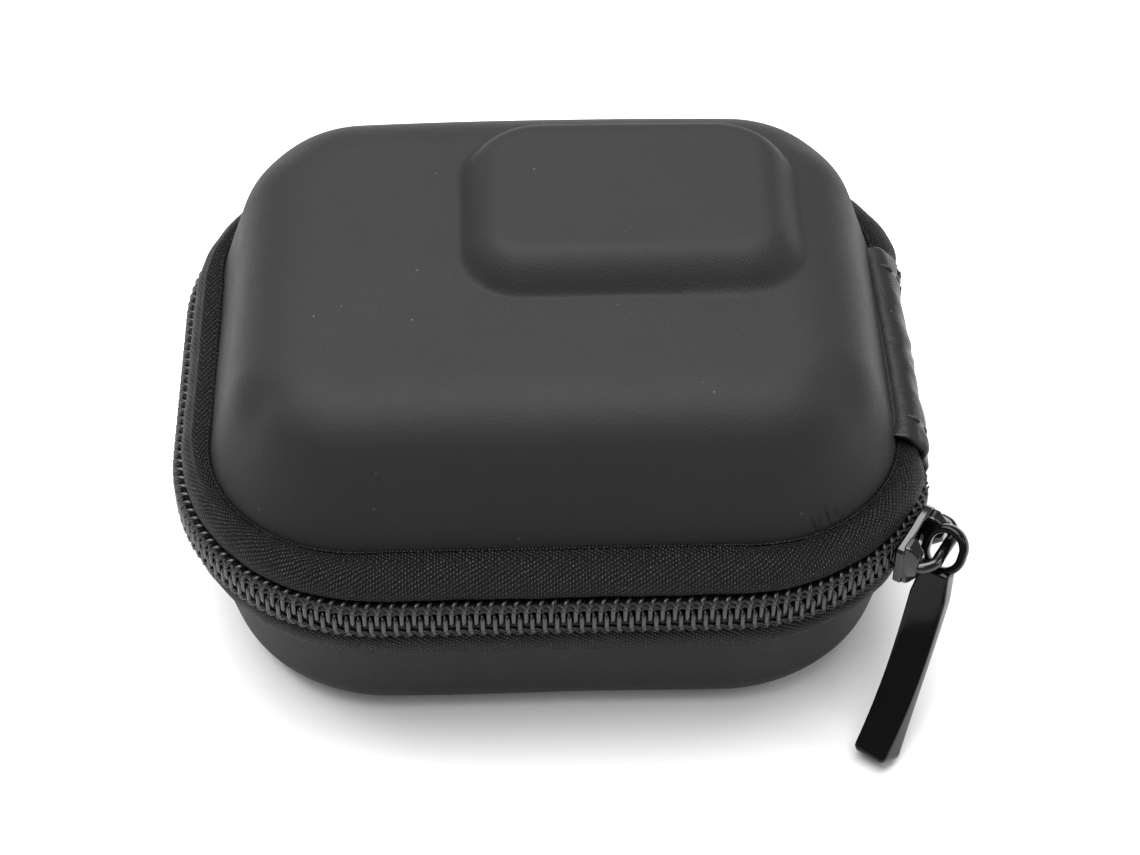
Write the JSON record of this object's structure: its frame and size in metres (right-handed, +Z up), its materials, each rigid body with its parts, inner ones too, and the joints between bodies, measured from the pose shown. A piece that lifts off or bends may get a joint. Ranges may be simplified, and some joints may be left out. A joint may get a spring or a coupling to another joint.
{
  "type": "zip-round hard carry case",
  "caption": "Small moulded hard-shell carry case with a raised boss on the lid, closed by a coil zip round three sides and hinged on a fabric spine.",
  "frame": {"origin": "centre of the case's flat underside, on the surface it stands on", "axes": "+Z up, +X towards the spine side, -Y towards the front"},
  "size_m": [0.0927, 0.0789, 0.051],
  "materials": {
    "coated_skin": "matte coated fabric, very fine grain",
    "moulded_foam": "moulded closed-cell foam",
    "lining": "brushed knitted lining",
    "binding": "woven edge binding",
    "zip_tape": "herringbone woven tape",
    "zip_coil": "semi-gloss nylon coil",
    "thread": "twisted sewing thread",
    "end_stop": "semi-gloss black",
    "spine_cover": "smooth coated fabric",
    "slider_enamel": "gloss black enamel",
    "pull_enamel": "gloss black enamel"
  },
  "bodies": {
    "base": {"base_skin": "coated_skin", "base_shell": "moulded_foam", "base_lining": "lining", "base_rim_binding": "binding", "base_tape": "zip_tape", "base_coil": "zip_coil", "base_coil_cord": "thread", "base_coil_stitching": "thread", "base_rim_seam": "thread", "base_end_stops": "end_stop", "spine_cover": "spine_cover", "spine_lining": "lining", "spine_stitching": "thread"},
    "lid": {"lid_skin": "coated_skin", "lid_shell": "moulded_foam", "lid_lining": "lining", "lid_rim_binding": "binding", "lid_tape": "zip_tape", "lid_coil": "zip_coil", "lid_coil_cord": "thread", "lid_coil_stitching": "thread", "lid_rim_seam": "thread", "lid_end_stops": "end_stop"},
    "slider": {"slider_body": "slider_enamel", "slider_bail": "slider_enamel"},
    "pull": {"pull_tab": "pull_enamel"}
  },
  "joints": [
    {"name": "lid_hinge", "type": "hinge", "parent": "base", "child": "lid", "pos_m": [0.045, 0, 0.0241], "axis": [0, 1, 0], "range_deg": [0, 170], "deforming": ["spine_cover", "spine_lining", "spine_stitching", "lid_tape", "lid_coil", "lid_coil_cord", "lid_coil_stitching"]},
    {"name": "slider_travel", "type": "hinge", "parent": "base", "child": "slider", "pos_m": [0.02, -0.012, 0.0241], "axis": [0, 0, -1], "range_deg": [0, 43]},
    {"name": "pull_swing", "type": "hinge", "parent": "slider", "child": "pull", "pos_m": [0.04476, -0.02747, 0.0241], "axis": [-0.5299, -0.848, 0], "range_deg": [0, 170]}
  ]
}
